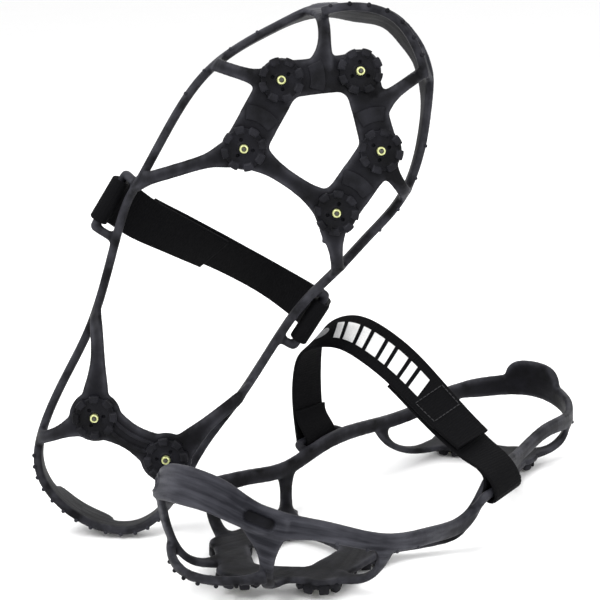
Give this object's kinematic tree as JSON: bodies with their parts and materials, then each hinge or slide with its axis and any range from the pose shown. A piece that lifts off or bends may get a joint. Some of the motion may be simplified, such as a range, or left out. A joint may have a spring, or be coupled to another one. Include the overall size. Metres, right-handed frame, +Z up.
{
  "type": "shoe ice cleats",
  "caption": "Pair of slip-on ice cleats: stretch harness with studded forefoot and heel plates, toe and heel bands and a hook-and-loop instep strap.",
  "frame": {"origin": "centre of the pair's bounding box at ground level", "axes": "+Z up; +X from heel to toe of the standing left cleat; +Y towards its outer side"},
  "size_m": [0.3202, 0.2174, 0.2794],
  "materials": {
    "band_elastomer": "satin moulded elastomer, dark grey",
    "plate_elastomer": "satin moulded elastomer, near black",
    "stud_metal": "pale yellow zinc plate",
    "carbide": "dark sintered carbide",
    "webbing": "woven polyester webbing, black",
    "hook_tape": "moulded hook tape, black",
    "loop_tape": "brushed loop pile, black"
  },
  "bodies": {
    "left_harness": {"left_lateral_band": "band_elastomer", "left_toe_rand": "band_elastomer", "left_medial_band": "band_elastomer", "left_heel_band": "band_elastomer", "left_heel_pull_tab": "band_elastomer", "left_forefoot_plate": "plate_elastomer", "left_heel_plate": "plate_elastomer", "left_forefoot_crowns": "plate_elastomer", "left_heel_crowns": "plate_elastomer", "left_toe_arm_outer": "plate_elastomer", "left_toe_arm_inner": "plate_elastomer", "left_mid_arm_outer": "plate_elastomer", "left_mid_arm_inner": "plate_elastomer", "left_rear_arm_outer": "plate_elastomer", "left_rear_arm_inner": "plate_elastomer", "left_heel_front_arm_outer": "plate_elastomer", "left_heel_front_arm_inner": "plate_elastomer", "left_heel_rear_arm_outer": "plate_elastomer", "left_heel_rear_arm_inner": "plate_elastomer", "left_toe_rim": "band_elastomer", "left_strap_loop_outer": "band_elastomer", "left_strap_loop_inner": "band_elastomer", "left_studs": "stud_metal", "left_stud_tips": "carbide", "left_strap_anchor": "webbing"},
    "right_harness": {"right_lateral_band": "band_elastomer", "right_toe_rand": "band_elastomer", "right_medial_band": "band_elastomer", "right_heel_band": "band_elastomer", "right_heel_pull_tab": "band_elastomer", "right_forefoot_plate": "plate_elastomer", "right_heel_plate": "plate_elastomer", "right_forefoot_crowns": "plate_elastomer", "right_heel_crowns": "plate_elastomer", "right_toe_arm_outer": "plate_elastomer", "right_toe_arm_inner": "plate_elastomer", "right_mid_arm_outer": "plate_elastomer", "right_mid_arm_inner": "plate_elastomer", "right_rear_arm_outer": "plate_elastomer", "right_rear_arm_inner": "plate_elastomer", "right_heel_front_arm_outer": "plate_elastomer", "right_heel_front_arm_inner": "plate_elastomer", "right_heel_rear_arm_outer": "plate_elastomer", "right_heel_rear_arm_inner": "plate_elastomer", "right_toe_rim": "band_elastomer", "right_strap_loop_outer": "band_elastomer", "right_strap_loop_inner": "band_elastomer", "right_studs": "stud_metal", "right_stud_tips": "carbide", "right_strap_anchor": "webbing"},
    "left_strap_flap": {"left_strap_flap": "webbing", "left_hook_patch": "hook_tape"},
    "left_strap_tail": {"left_strap_tail": "webbing"},
    "left_strap_under": {"left_strap_under": "webbing", "left_loop_patch": "loop_tape"},
    "right_strap_flap": {"right_strap_flap": "webbing", "right_hook_patch": "hook_tape"},
    "right_strap_tail": {"right_strap_tail": "webbing"},
    "right_strap_under": {"right_strap_under": "webbing", "right_loop_patch": "loop_tape"}
  },
  "joints": [
    {"name": "right_cleat_set_aside", "type": "slide", "parent": "left_harness", "child": "right_harness", "axis": [0, -1, 0], "range_m": [0, 0.06]},
    {"name": "left_strap_flap_fold", "type": "hinge", "parent": "left_harness", "child": "left_strap_flap", "pos_m": [-0.00305, 0.00416, 0.09983], "axis": [0.8525, -0.0202, -0.5224], "range_deg": [0, 70]},
    {"name": "left_strap_tail_fold", "type": "hinge", "parent": "left_strap_flap", "child": "left_strap_tail", "pos_m": [-0.00331, 0.07112, 0.06361], "axis": [0.9627, -0.144, -0.2291], "range_deg": [0, 100]},
    {"name": "left_strap_under_swing", "type": "hinge", "parent": "left_harness", "child": "left_strap_under", "pos_m": [-0.00208, 0.10377, 0.032], "axis": [1, 0, 0], "range_deg": [0, 20]},
    {"name": "right_strap_flap_fold", "type": "hinge", "parent": "right_harness", "child": "right_strap_flap", "pos_m": [-0.01031, -0.05744, 0.11931], "axis": [-0.033, -0.6688, -0.7427], "range_deg": [0, 70]},
    {"name": "right_strap_tail_fold", "type": "hinge", "parent": "right_strap_flap", "child": "right_strap_tail", "pos_m": [0.05108, -0.07865, 0.15904], "axis": [0.2972, -0.6024, -0.7408], "range_deg": [0, 100]},
    {"name": "right_strap_under_swing", "type": "hinge", "parent": "right_harness", "child": "right_strap_under", "pos_m": [0.091, -0.07947, 0.18075], "axis": [0.4134, -0.3722, -0.831], "range_deg": [0, 20]}
  ]
}
